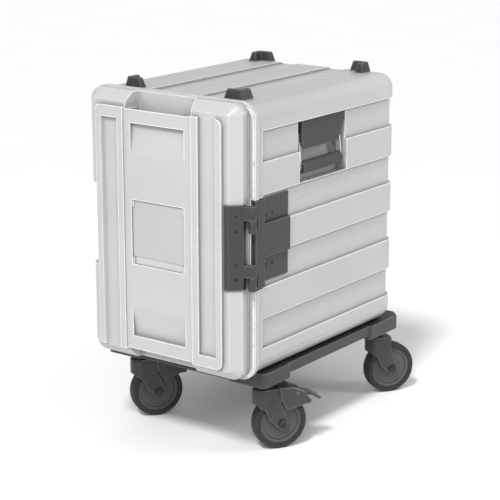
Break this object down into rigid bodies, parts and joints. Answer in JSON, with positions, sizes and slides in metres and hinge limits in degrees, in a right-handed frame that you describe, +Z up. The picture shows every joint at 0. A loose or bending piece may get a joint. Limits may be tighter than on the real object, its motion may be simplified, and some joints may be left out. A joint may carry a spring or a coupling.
{
  "type": "insulated food carrier",
  "caption": "Insulated front-loading food carrier on swivel castors, with a hinged ribbed door, banded sides, drop-down carry handles and stacking corners.",
  "frame": {"origin": "on the floor, in the body's left-right mid plane, halfway along the overall length", "axes": "+Z up, -Y out of the door side, +X to the door's hinge side"},
  "size_m": [0.4983, 0.7051, 0.8195],
  "materials": {
    "light_grey_plastic": "satin moulded polypropylene",
    "dark_grey_plastic": "fine textured moulded plastic",
    "castor_plastic": "fine textured moulded plastic",
    "wheel_plastic": "satin moulded plastic",
    "tyre_rubber": "dull solid rubber",
    "black_rubber": "soft matt seal rubber",
    "foam": "rigid insulating foam",
    "liner_plastic": "smooth food-safe plastic",
    "steel": "stainless steel",
    "bail_steel": "bright stainless steel",
    "dark_steel": "blackened steel, fine matt coat",
    "card": "blank wipe-clean card"
  },
  "bodies": {
    "carrier": {"body_foam": "foam", "body_liner": "liner_plastic", "body_shell": "light_grey_plastic", "castor_stems": "steel", "chassis_bar_front": "dark_grey_plastic", "chassis_bar_rear": "dark_grey_plastic", "chassis_bolts": "dark_steel", "chassis_corner_front_left": "dark_grey_plastic", "chassis_corner_front_right": "dark_grey_plastic", "chassis_corner_rear_left": "dark_grey_plastic", "chassis_corner_rear_right": "dark_grey_plastic", "chassis_rail_left": "dark_grey_plastic", "chassis_rail_right": "dark_grey_plastic", "handle_bracket_left": "dark_grey_plastic", "handle_bracket_right": "dark_grey_plastic", "handle_pivot_pins": "steel", "handle_screws": "dark_steel", "hinge_body_bracket": "dark_grey_plastic", "hinge_pins": "steel", "latch_body_bracket": "dark_grey_plastic", "latch_pin": "steel", "side_bracket_screws": "dark_steel", "stacking_corner_front_left": "dark_grey_plastic", "stacking_corner_front_right": "dark_grey_plastic", "stacking_corner_rear_left": "dark_grey_plastic", "stacking_corner_rear_right": "dark_grey_plastic", "stacking_corner_screws": "dark_steel"},
    "door": {"door_shell": "light_grey_plastic", "door_foam": "foam", "door_inner_panel": "liner_plastic", "door_gasket": "black_rubber", "card_holder": "light_grey_plastic", "label_card": "card", "hinge_door_leaf": "dark_grey_plastic", "latch_door_plate": "dark_grey_plastic", "door_hardware_screws": "dark_steel"},
    "latch": {"latch_lever": "dark_grey_plastic"},
    "handle_right": {"handle_bail_right": "bail_steel", "handle_grip_right": "dark_grey_plastic"},
    "handle_left": {"handle_bail_left": "bail_steel", "handle_grip_left": "dark_grey_plastic"},
    "castor_front_left_swivel_body": {"castor_front_left_fork": "castor_plastic", "castor_front_left_axle": "dark_steel"},
    "castor_front_left_wheel_body": {"castor_front_left_hub": "wheel_plastic", "castor_front_left_tyre": "tyre_rubber"},
    "castor_front_left_pedal_body": {"castor_front_left_pedal": "castor_plastic"},
    "castor_front_right_swivel_body": {"castor_front_right_fork": "castor_plastic", "castor_front_right_axle": "dark_steel"},
    "castor_front_right_wheel_body": {"castor_front_right_hub": "wheel_plastic", "castor_front_right_tyre": "tyre_rubber"},
    "castor_front_right_pedal_body": {"castor_front_right_pedal": "castor_plastic"},
    "castor_rear_left_swivel_body": {"castor_rear_left_fork": "castor_plastic", "castor_rear_left_axle": "dark_steel"},
    "castor_rear_left_wheel_body": {"castor_rear_left_hub": "wheel_plastic", "castor_rear_left_tyre": "tyre_rubber"},
    "castor_rear_right_swivel_body": {"castor_rear_right_fork": "castor_plastic", "castor_rear_right_axle": "dark_steel"},
    "castor_rear_right_wheel_body": {"castor_rear_right_hub": "wheel_plastic", "castor_rear_right_tyre": "tyre_rubber"}
  },
  "joints": [
    {"name": "door_hinge", "type": "hinge", "parent": "carrier", "child": "door", "pos_m": [0.227, -0.313, 0.4975], "axis": [0, 0, 1], "range_deg": [0, 180]},
    {"name": "latch_lever_pivot", "type": "hinge", "parent": "carrier", "child": "latch", "pos_m": [-0.231, -0.196, 0.4975], "axis": [0, 0, -1], "range_deg": [0, 75]},
    {"name": "handle_right_pivot", "type": "hinge", "parent": "carrier", "child": "handle_right", "pos_m": [0.203, -0.039, 0.7075], "axis": [0, -1, 0], "range_deg": [0, 85]},
    {"name": "handle_left_pivot", "type": "hinge", "parent": "carrier", "child": "handle_left", "pos_m": [-0.203, -0.039, 0.7075], "axis": [0, 1, 0], "range_deg": [0, 85]},
    {"name": "castor_front_left_swivel", "type": "hinge", "parent": "carrier", "child": "castor_front_left_swivel_body", "pos_m": [-0.178, -0.206, 0.1525], "axis": [0, 0, 1], "continuous": true},
    {"name": "castor_front_left_spin", "type": "hinge", "parent": "castor_front_left_swivel_body", "child": "castor_front_left_wheel_body", "pos_m": [-0.15786, -0.17377, 0.0625], "axis": [0.848, -0.5299, 0], "continuous": true},
    {"name": "castor_front_left_brake", "type": "hinge", "parent": "castor_front_left_swivel_body", "child": "castor_front_left_pedal_body", "pos_m": [-0.13879, -0.14324, 0.1305], "axis": [-0.848, 0.5299, 0], "range_deg": [0, 12]},
    {"name": "castor_front_right_swivel", "type": "hinge", "parent": "carrier", "child": "castor_front_right_swivel_body", "pos_m": [0.178, -0.206, 0.1525], "axis": [0, 0, 1], "continuous": true},
    {"name": "castor_front_right_spin", "type": "hinge", "parent": "castor_front_right_swivel_body", "child": "castor_front_right_wheel_body", "pos_m": [0.19814, -0.17377, 0.0625], "axis": [0.848, -0.5299, 0], "continuous": true},
    {"name": "castor_front_right_brake", "type": "hinge", "parent": "castor_front_right_swivel_body", "child": "castor_front_right_pedal_body", "pos_m": [0.21721, -0.14324, 0.1305], "axis": [-0.848, 0.5299, 0], "range_deg": [0, 12]},
    {"name": "castor_rear_left_swivel", "type": "hinge", "parent": "carrier", "child": "castor_rear_left_swivel_body", "pos_m": [-0.178, 0.261, 0.1525], "axis": [0, 0, 1], "continuous": true},
    {"name": "castor_rear_left_spin", "type": "hinge", "parent": "castor_rear_left_swivel_body", "child": "castor_rear_left_wheel_body", "pos_m": [-0.15786, 0.29323, 0.0625], "axis": [0.848, -0.5299, 0], "continuous": true},
    {"name": "castor_rear_right_swivel", "type": "hinge", "parent": "carrier", "child": "castor_rear_right_swivel_body", "pos_m": [0.178, 0.261, 0.1525], "axis": [0, 0, 1], "continuous": true},
    {"name": "castor_rear_right_spin", "type": "hinge", "parent": "castor_rear_right_swivel_body", "child": "castor_rear_right_wheel_body", "pos_m": [0.19814, 0.29323, 0.0625], "axis": [0.848, -0.5299, 0], "continuous": true}
  ]
}
